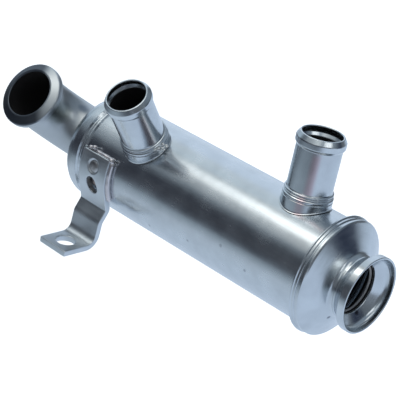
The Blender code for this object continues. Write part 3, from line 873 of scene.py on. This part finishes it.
def strip_loop(stations, length, half_width, inset):
    """The strip's outline, moved inwards, with a point at every station on both sides."""
    corner = 0.0007
    near, far = inset, length - inset
    side = half_width - inset
    inner = [u for u in stations if near + corner * 1.5 < u < far - corner * 1.5]
    loop = []
    across = [side * share / 6.0 for share in range(-5, 6)]
    for centre_u, centre_v, start, straight in (
        (near + corner, corner - side, 180.0, [(u, -side) for u in inner]),
        (far - corner, corner - side, 270.0, [(far, v) for v in across]),
        (far - corner, side - corner, 0.0, [(u, side) for u in reversed(inner)]),
        (near + corner, side - corner, 90.0, [(near, v) for v in reversed(across)]),
    ):
        for step in range(5):
            angle = radians(start + 22.5 * step)
            loop.append(Vector((centre_u + corner * cos(angle), centre_v + corner * sin(angle))))
        loop += [Vector(point) for point in straight]
    return loop


def round_hole(centre, radius, reach, tilt, sides):
    """A round or oblong hole's outline; reach is how far its two ends' centres lie apart, halved."""
    loop = []
    for i in range(sides):
        angle = 2.0 * pi * (i + 0.5) / sides
        x = radius * cos(angle)
        y = radius * sin(angle)
        y += copysign(reach, y)
        turned_x = x * cos(tilt) - y * sin(tilt)
        turned_y = x * sin(tilt) + y * cos(tilt)
        loop.append(centre + Vector((-turned_y, turned_x)))
    return loop


def build_bracket():
    """One strip, rounded at its edges, cut flat and then bent along its path."""
    path = bracket_path()
    length = path[-1][2]
    half_width = (BRACKET_RIGHT - BRACKET_LEFT) / 2.0
    radius = SKIRT_INNER + BRACKET_THICKNESS
    bolt = Vector((length - BOLT_HOLE_FROM_TIP, 0.0))
    slot = Vector(((SLOT_CLOCK - BRACKET_TOP_CLOCK) * radius, 0.0))
    dimple = Vector(((DIMPLE_CLOCK - BRACKET_TOP_CLOCK) * radius, 0.0))
    stations = []
    for (_, _, near), (_, _, far) in zip(path, path[1:]):
        pieces = max(1, ceil((far - near) / 0.0012))
        stations += [near + (far - near) * k / pieces for k in range(pieces)]

    def loops_at(inset):
        return [
            strip_loop(stations, length, half_width, inset),
            round_hole(bolt, BOLT_HOLE_RADIUS + inset, 0.0, 0.0, 56),
            round_hole(slot, SLOT_WIDTH / 2.0 + inset, (SLOT_LENGTH - SLOT_WIDTH) / 2.0, SLOT_TILT, 56),
        ]

    def spot_weld(flat):
        """Depth of the spot weld's ring and of its raised middle."""
        away = (flat - dimple).length / DIMPLE_RADIUS
        if away > 1.3:
            return 0.0
        ring = exp(-((away - 0.88) / 0.17) ** 2)
        lip = exp(-((away - 1.16) / 0.10) ** 2)
        rough = 1.0 + noise.noise(Vector((flat.x, flat.y, 0.0)) * 1500.0)
        middle = 0.45 * exp(-(away / 0.45) ** 2) * rough
        return DIMPLE_DEPTH * (ring - 0.25 * lip - 0.4 * middle + 0.2 * (away < 0.7))

    edge = loops_at(BRACKET_ROUND)
    points = [point for loop in edge for point in loop]
    edges = []
    first = 0
    for loop in edge:
        edges += [(first + i, first + (i + 1) % len(loop)) for i in range(len(loop))]
        first += len(loop)
    clear = 0.00055
    rings = [
        dimple + Vector((cos(a), sin(a))) * (DIMPLE_RADIUS * share)
        for share in (0.12, 0.3, 0.45, 0.58, 0.7, 0.8, 0.9, 1.0, 1.1, 1.22)
        for a in round_angles(32)
    ]
    grid = [Vector((u, half_width * v / 9.0)) for u in stations for v in range(-8, 9)]
    grid = [spot for spot in grid if (spot - dimple).length > DIMPLE_RADIUS * 1.32]
    inside = [
        spot for spot in rings + grid
        if clear + BRACKET_ROUND < spot.x < length - clear - BRACKET_ROUND
        and min((spot - point).length for point in points) > clear
        and (spot - bolt).length > BOLT_HOLE_RADIUS + BRACKET_ROUND
        and not in_loop(spot, edge[2])
    ]
    spots, _, faces, _, _, _ = geometry.delaunay_2d_cdt(points + inside, edges, [], 0, 1e-7)
    faces = [face for face in faces if in_material(face, spots, edge)]
    body = bmesh.new()
    tops = [body.verts.new(bend(path, spot, spot_weld(spot))) for spot in spots]
    unders = [body.verts.new(bend(path, spot, BRACKET_THICKNESS)) for spot in spots]
    for face in faces:
        body.faces.new([tops[i] for i in face])
        body.faces.new([unders[i] for i in reversed(face)])
    steps = 4
    for number, loop in enumerate(edge):
        start = sum(len(other) for other in edge[:number])
        upper = [tops[start + i] for i in range(len(loop))]
        lower = [unders[start + i] for i in range(len(loop))]
        for step in range(1, steps + 1):
            angle = QUARTER_TURN * step / steps
            inset = BRACKET_ROUND * (1.0 - sin(angle))
            drop = BRACKET_ROUND * (1.0 - cos(angle))
            outline = loops_at(inset)[number]
            next_upper = [body.verts.new(bend(path, spot, drop)) for spot in outline]
            next_lower = [body.verts.new(bend(path, spot, BRACKET_THICKNESS - drop)) for spot in outline]
            wall(body, upper, next_upper)
            wall(body, lower, next_lower)
            upper, lower = next_upper, next_lower
        wall(body, upper, lower)
    bmesh.ops.delete(body, geom=[vert for vert in body.verts if not vert.link_faces], context="VERTS")
    mesh = finish_mesh("bracket_skin", body)
    even_shading(show(
        "bracket_skin", mesh, Matrix.Identity(4), bracket_steel, "mounting_bracket",
        slot="bracket_stainless",
    ))


def in_loop(spot, loop):
    """Whether a point of the flat strip lies inside a closed outline."""
    inside = False
    for a, b in zip(loop, loop[1:] + loop[:1]):
        if (a.y > spot.y) != (b.y > spot.y) and spot.x < a.x + (b.x - a.x) * (spot.y - a.y) / (b.y - a.y):
            inside = not inside
    return inside


def in_material(face, spots, edge):
    middle = sum((spots[i] for i in face), Vector((0.0, 0.0))) / len(face)
    return in_loop(middle, edge[0]) and not any(in_loop(middle, loop) for loop in edge[1:])


def build_bracket_braze():
    """Braze along the bracket's sides and top edge, with lumps at its corners."""
    low_clock = BRACKET_LEAVE_CLOCK + radians(12.0)
    steps = 40
    clocks = even_steps(low_clock, BRACKET_TOP_CLOCK, steps)
    for name, at, height, share in (
        ("braze_right", BRACKET_RIGHT + 0.0001, 0.0011, 1.6),
        ("braze_left", BRACKET_LEFT - 0.0001, 0.0003, 0.7),
    ):
        braze_run(name, [on_shell(at, clock, height) for clock in clocks], BRAZE_FILLET * share)
    top = BRACKET_TOP_CLOCK - 0.0004 / SHELL_RADIUS
    spots = even_steps(BRACKET_LEFT, BRACKET_RIGHT, steps)
    braze_run("braze_top", [on_shell(at, top, 0.0006) for at in spots], BRAZE_FILLET)
    for number, (at, clock, height, size) in enumerate((
        (BRACKET_RIGHT - 0.0001, 72.6, 0.0022, 0.0016),
        (BRACKET_LEFT + 0.0028, 70.5, 0.0020, 0.0013),
        (BRACKET_LEFT + 0.0052, 69.0, 0.0022, 0.0014),
    )):
        clock = radians(clock)
        blob(f"braze_lump_{number}", on_shell(at, clock, height), size, 0.7, clocked(clock), braze_steel)
    slot_middle = on_shell(BRACKET_CENTRE, SLOT_CLOCK, -0.0002)
    blob("braze_in_slot", slot_middle, 0.0034, 0.4, clocked(SLOT_CLOCK), burnt_braze)


def build_port_weld():
    """The shiny lumps of weld on the inlet collar, on the side that faces the outlet."""
    at, clock = ports[0]
    placement = radial_placement(at, clock)
    radius = NIPPLE_RADIUS + FIT_GAP + COLLAR_WALL
    for number, (angle, height, size) in enumerate((
        (-8.0, 0.0291, 0.0013), (2.0, 0.0272, 0.0016), (13.0, 0.0268, 0.0012), (-17.0, 0.0300, 0.0009),
        (6.0, 0.0295, 0.0010),
    )):
        turn = radians(angle)
        way = Vector((cos(turn), sin(turn), 0.0))
        place = placement @ (way * radius + Vector((0.0, 0.0, height)))
        blob(f"port_weld_{number}", place, size, 0.95, placement.to_3x3() @ way, bright_weld)


def card_mask(tree, direction, facing, sideways, across, upwards, soft):
    """Where a flat card at a distance of 1 stands in the studio.

    facing is the way to it and sideways the way its width runs. across and upwards are its
    edges, measured on the card from the place that facing points at.
    """
    facing = Vector(facing).normalized()
    right = Vector(sideways)
    right = (right - facing * right.dot(facing)).normalized()
    top = right.cross(facing)
    if top.z < 0.0:
        top = -top
    ahead = dot_with(tree, direction, facing)
    near = calculate(tree, "MAXIMUM", ahead, 0.05)
    wide = calculate(tree, "DIVIDE", dot_with(tree, direction, right), near)
    high = calculate(tree, "DIVIDE", dot_with(tree, direction, top), near)
    card = times(tree, between(tree, wide, *across, soft), between(tree, high, *upwards, soft))
    return times(tree, card, calculate(tree, "GREATER_THAN", ahead, 0.05))


def towards(azimuth, elevation):
    """The direction at this azimuth from +X towards +Y and this elevation, in degrees."""
    turn = radians(azimuth)
    rise = radians(elevation)
    return (cos(rise) * cos(turn), cos(rise) * sin(turn), sin(rise))


def build_world():
    """A studio: a pale backdrop behind the object, a dark room in front, a long lamp overhead."""
    world = bpy.data.worlds.new("studio")
    bpy.context.scene.world = world
    world.use_nodes = True
    tree = world.node_tree
    direction = add_node(tree, "TexCoord").outputs["Generated"]
    height = add_node(tree, "SeparateXYZ", Vector=direction)
    studio = ramp(tree, height.outputs["Z"], [
        (0.0, (0.13, 0.14, 0.16)), (0.35, (0.15, 0.17, 0.19)), (0.65, (0.25, 0.31, 0.37)),
        (1.0, (0.30, 0.36, 0.43)),
    ])
    backdrop = (towards(140, 20), (0.64, 0.77, 0.0), (-0.34, 0.45), (-0.9, 0.70), 0.14)
    lamp_way = (0.0, -0.342, 0.940)
    for colour, *card in (
        # the pale wall on the outlet's side
        ((0.62, 0.74, 0.88), towards(30, -12), (-0.5, 0.87, 0.0), (-0.62, 2.6), (-0.75, 0.38), 0.16),
        # its dark window
        ((0.03, 0.04, 0.07), towards(39, 13), (-0.63, 0.78, 0.0), (-0.33, 0.27), (-0.32, 0.27), 0.07),
        # the dark room in front of the shell
        ((0.035, 0.04, 0.055), towards(-122, 5), (0.85, -0.53, 0.0), (-0.62, 0.08), (-0.42, 0.36), 0.12),
        # the duller end of the backdrop
        ((0.50, 0.62, 0.72), towards(172, 25), (0.14, 0.99, 0.0), (-0.45, 0.45), (-0.40, 0.45), 0.14),
        ((0.76, 0.93, 1.14), *backdrop),
        # the pale ceiling between the backdrop and the long lamp
        ((0.72, 0.84, 0.92), towards(165, 56), ALONG, (-0.5, 0.28), (-0.30, 0.34), 0.12),
        # the glow round the long lamp, faint and then brighter
        ((0.62, 0.66, 0.67), lamp_way, ALONG, (-0.78, 0.2), (-0.56, 0.40), 0.06),
        ((0.95, 0.98, 0.95), lamp_way, ALONG, (-0.58, 0.12), (-0.36, 0.0), 0.06),
        # the small lamps in front
        ((1.0, 1.05, 1.05), towards(-70, 42), (0.34, 0.94, 0.0), (-0.40, 0.60), (-0.07, 0.07), 0.05),
        ((1.9, 1.95, 1.95), towards(-15, 40), (0.26, 0.97, 0.0), (-0.26, 0.30), (-0.08, 0.09), 0.05),
        # the long lamp overhead
        ((2.6, 2.62, 2.52), (0.0, -0.309, 0.951), ALONG, (-0.69, 0.12), (-0.17, 0.17), 0.06),
        # the pale patch of ceiling straight above
        ((1.2, 1.22, 1.2), towards(-100, 84), ALONG, (0.0, 0.36), (-0.24, 0.24), 0.06),
    ):
        studio = blend_colour(tree, card_mask(tree, direction, *card), studio, (*colour, 1.0))
    light_path = add_node(tree, "LightPath")
    mirrored = calculate(
        tree, "MAXIMUM", light_path.outputs["Is Glossy Ray"], light_path.outputs["Is Transmission Ray"]
    )
    mirrored = times(tree, mirrored, times(tree, card_mask(tree, direction, *backdrop), 0.25))
    white = calculate(tree, "MAXIMUM", light_path.outputs["Is Camera Ray"], mirrored)
    seen = blend_colour(tree, white, studio, (1.0, 1.0, 1.0, 1.0))
    tree.links.new(seen, tree.nodes["Background"].inputs["Color"])


def build_floor():
    """A pale floor that keeps a faint shadow and darkens towards the dark side of the studio."""
    body = bmesh.new()
    bmesh.ops.create_circle(body, cap_ends=True, segments=96, radius=FLOOR_RADIUS)
    mesh = bpy.data.meshes.new("floor")
    body.to_mesh(mesh)
    body.free()
    floor = new_object("floor", mesh, Matrix.Translation((0.0, 0.0, FLOOR_HEIGHT)))
    material = bpy.data.materials.new("pale_floor")
    mesh.materials.append(material)
    material.use_nodes = True
    tree = material.node_tree
    lit = tree.nodes["Principled BSDF"]
    lit.inputs["Base Color"].default_value = (0.80, 0.81, 0.82, 1.0)
    lit.inputs["Roughness"].default_value = 0.9
    white = add_node(tree, "Emission", Strength=0.62)
    pale = add_node(tree, "AddShader")
    tree.links.new(lit.outputs[0], pale.inputs[0])
    tree.links.new(white.outputs[0], pale.inputs[1])
    place = add_node(tree, "TexCoord").outputs["Object"]
    length = add_node(tree, "VectorMath")
    length.operation = "LENGTH"
    tree.links.new(place, length.inputs[0])
    far = ramp(tree, length.outputs["Value"], [
        (0.05, (0.60, 0.70, 0.80)), (0.20, (0.58, 0.67, 0.77)), (0.29, (0.42, 0.50, 0.57)),
        (0.42, (0.36, 0.44, 0.51)), (0.49, (0.26, 0.32, 0.37)), (0.56, (0.16, 0.19, 0.23)),
        (1.0, (0.06, 0.07, 0.09)),
    ])
    west = spread(tree, dot_with(tree, place, ALONG), -0.42, -0.22, 0.55, 0.0)
    far = blend_colour(tree, west, far, (0.06, 0.07, 0.09, 1.0))
    side = spread(tree, dot_with(tree, place, (0.6, 0.8, 0.0)), -0.24, 0.22, 0.0, 1.0)
    seen = add_node(tree, "Emission", Color=blend_colour(tree, side, far, (0.67, 0.79, 0.96, 1.0)))
    light_path = add_node(tree, "LightPath")
    choice = add_node(tree, "MixShader")
    tree.links.new(light_path.outputs["Is Glossy Ray"], choice.inputs[0])
    tree.links.new(pale.outputs[0], choice.inputs[1])
    tree.links.new(seen.outputs[0], choice.inputs[2])
    tree.links.new(choice.outputs[0], tree.nodes["Material Output"].inputs["Surface"])


def build_camera():
    data = bpy.data.cameras.new("camera")
    data.lens = CAMERA_LENS
    camera = new_object("camera", data, Matrix.Translation(CAMERA_AT))
    camera.rotation_euler = [radians(angle) for angle in CAMERA_TURN]
    bpy.context.scene.camera = camera


ports = (
    (node_middle("coolant_inlet_nipple").x - AXIS.x, COOLANT_INLET_CLOCK),
    (node_middle("coolant_outlet_nipple").x - AXIS.x, COOLANT_OUTLET_CLOCK),
)

BEND_END, MOUTH_WAY = elbow_line()[1:]
ELBOW_FRAME = Matrix.Translation(BEND_END) @ MOUTH_WAY.to_track_quat("Z", "X").to_matrix().to_4x4()
INTO_AXIAL = AXIAL.inverted()
INTO_ELBOW = ELBOW_FRAME.inverted()

SILVER = (0.575, 0.615, 0.65)
DULL_SILVER = (0.46, 0.49, 0.515)
BRIGHT_SILVER = (0.86, 0.86, 0.84)
WARM_SILVER = (0.60, 0.57, 0.59)
PINK = (0.64, 0.44, 0.48)
MAUVE = (0.56, 0.48, 0.51)
BROWN = (0.26, 0.21, 0.19)
OLIVE = (0.26, 0.28, 0.25)
MARK_GREY = (0.24, 0.26, 0.29)
LEDGE_GREY = (0.30, 0.31, 0.33)
# painted shade on the elbow's mouth
MOUTH_SHADE_GREY = (0.06, 0.07, 0.09)
# near black, painted as shade inside the bores
INSIDE_SHADE = (0.014, 0.013, 0.014)

# painted shade inside the nipples, up to a little below their top
port_inside_shade = [(INSIDE_SHADE, 1.0, inside_tube, NIPPLE_RADIUS - 0.0001, 0.0, NIPPLE_TOP - NIPPLE_SHADE_TOP)]
dimple_place = on_shell(BRACKET_CENTRE, DIMPLE_CLOCK, BRACKET_THICKNESS)
elbow_side = MOUTH_WAY.cross(ALONG)
bright_turn = radians(30.0)
centre_way = INTO_ELBOW.to_3x3() @ ALONG
side_way = INTO_ELBOW.to_3x3() @ elbow_side
bright_way = INTO_ELBOW.to_3x3() @ (ALONG * cos(bright_turn) + elbow_side * sin(bright_turn))
shell_marks = [
    (MARK_GREY, share, near_spot, INTO_AXIAL @ Vector(spot), size)
    for spot, size, share in (
        ((0.0355, 0.0238, 0.0241), 0.0011, 0.55), ((0.0620, 0.0211, 0.0294), 0.0010, 0.5),
        ((0.0823, 0.0195, 0.0369), 0.0013, 0.4), ((0.0976, 0.0203, 0.0318), 0.0012, 0.6),
    )
]
shell_steel = steel("shell_steel", SILVER, 0.24, UPWARDS, 0.4, stains_and_shade=shell_marks)
cap_steel = steel("cap_steel", SILVER, 0.22, AROUND, 0.6, stains_and_shade=[
    ((0.10, 0.12, 0.15), 0.8, near_spot, INTO_AXIAL @ Vector((0.1358, 0.0359, 0.0240)), 0.0013),
])
flange_steel = steel(
    "flange_steel", SILVER, 0.20, AROUND, 0.6,
    stains_and_shade=[((0.04, 0.04, 0.05), 0.9, near_spot, INTO_AXIAL @ Vector((0.1411, 0.0486, 0.0259)), 0.0016)],
    # painted shade in the flange's bore, with a paler grey on the ledge's face
    painted_shade=[
        (INSIDE_SHADE, 1.0, inside_tube, FLANGE_BORE_RADIUS + 0.0002, 0.0, BORE_EDGE - 0.0007),
        (
            LEDGE_GREY, 0.9, inside_tube, FLANGE_BORE_RADIUS - 0.0001,
            FLANGE_LEDGE - 0.0004, FLANGE_LEDGE + 0.0004,
        ),
    ],
)
elbow_steel = steel(
    "elbow_steel", DULL_SILVER, 0.36, EVENLY, 0.5,
    stains_and_shade=[
        # painted shade: a dark olive patch on the elbow, a dark blue spot where it meets the inlet cap, and
        # the mouth darkened but for the side of its bead that faces the light
        (OLIVE, 0.6, near_spot, INTO_ELBOW @ Vector((-0.0379, 0.0255, 0.0518)), 0.0095),
        ((0.20, 0.24, 0.30), 0.6, near_spot, INTO_ELBOW @ Vector((-0.0353, 0.0387, 0.0532)), 0.0040),
        (MOUTH_SHADE_GREY, 0.9, shaded_mouth, bright_way, PIPE_AFTER_BEND - PIPE_BEAD_RAMP - 0.0010),
    ],
    # painted shade inside the elbow
    painted_shade=[(INSIDE_SHADE, 1.0, inside_elbow, centre_way, side_way, PIPE_AFTER_BEND - 0.0005)],
)
nipple_steels = {
    "coolant_inlet": steel(
        "inlet_nipple_steel", SILVER, 0.20, UPWARDS, 0.5,
        stains_and_shade=[(MAUVE, 0.7, streak, radians(-17.0), 0.0014, 0.0, NIPPLE_TOP - 0.0070)], painted_shade=port_inside_shade,
    ),
    "coolant_outlet": steel(
        "outlet_nipple_steel", SILVER, 0.20, UPWARDS, 0.5,
        stains_and_shade=[(PINK, 0.62, streak, radians(-57.0), 0.0017, 0.0, NIPPLE_TOP - 0.0068)], painted_shade=port_inside_shade,
    ),
}
collar_steels = {
    "coolant_inlet": steel("inlet_collar_steel", SILVER, 0.20, AROUND, 0.6),
    "coolant_outlet": steel("outlet_collar_steel", SILVER, 0.20, AROUND, 0.6, stains_and_shade=[
        (PINK, 0.55, streak, radians(-68.0), 0.0017, 0.0, COLLAR_TOP),
    ]),
}
bracket_steel = steel("bracket_steel", SILVER, 0.34, (0.05, 1.0, 1.0), 0.8, stains_and_shade=[
    (BROWN, 0.55, near_spot, dimple_place, 0.0046),
])
weld_steel = steel("weld_steel", SILVER, 0.20, EVENLY, 0.6)
bright_weld = steel("bright_weld", BRIGHT_SILVER, 0.14, EVENLY, 0.4)
braze_steel = steel("braze_steel", WARM_SILVER, 0.26, EVENLY, 0.6)
burnt_braze = steel("burnt_braze", BROWN, 0.30, EVENLY, 0.8)
tube_steel = steel("tube_steel", (0.13, 0.13, 0.14), 0.45, AROUND, 0.6)

bpy.context.scene.view_settings.view_transform = "Standard"
build_camera()
build_world()
build_floor()
build_shell()
build_inlet_cap()
build_outlet_cap()
build_clamp_flange()
build_elbow()
for port_name, (port_at, port_clock) in zip(("coolant_inlet", "coolant_outlet"), ports):
    build_nipple(port_name, port_at, port_clock)
    build_collar(port_name, port_at, port_clock)
build_bracket()
build_bracket_braze()
build_port_weld()
build_seam_weld()
build_neck_weld()
for node_name, node_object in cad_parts.items():
    node_object.data.materials.clear()
    node_object.data.materials.append(tube_steel)
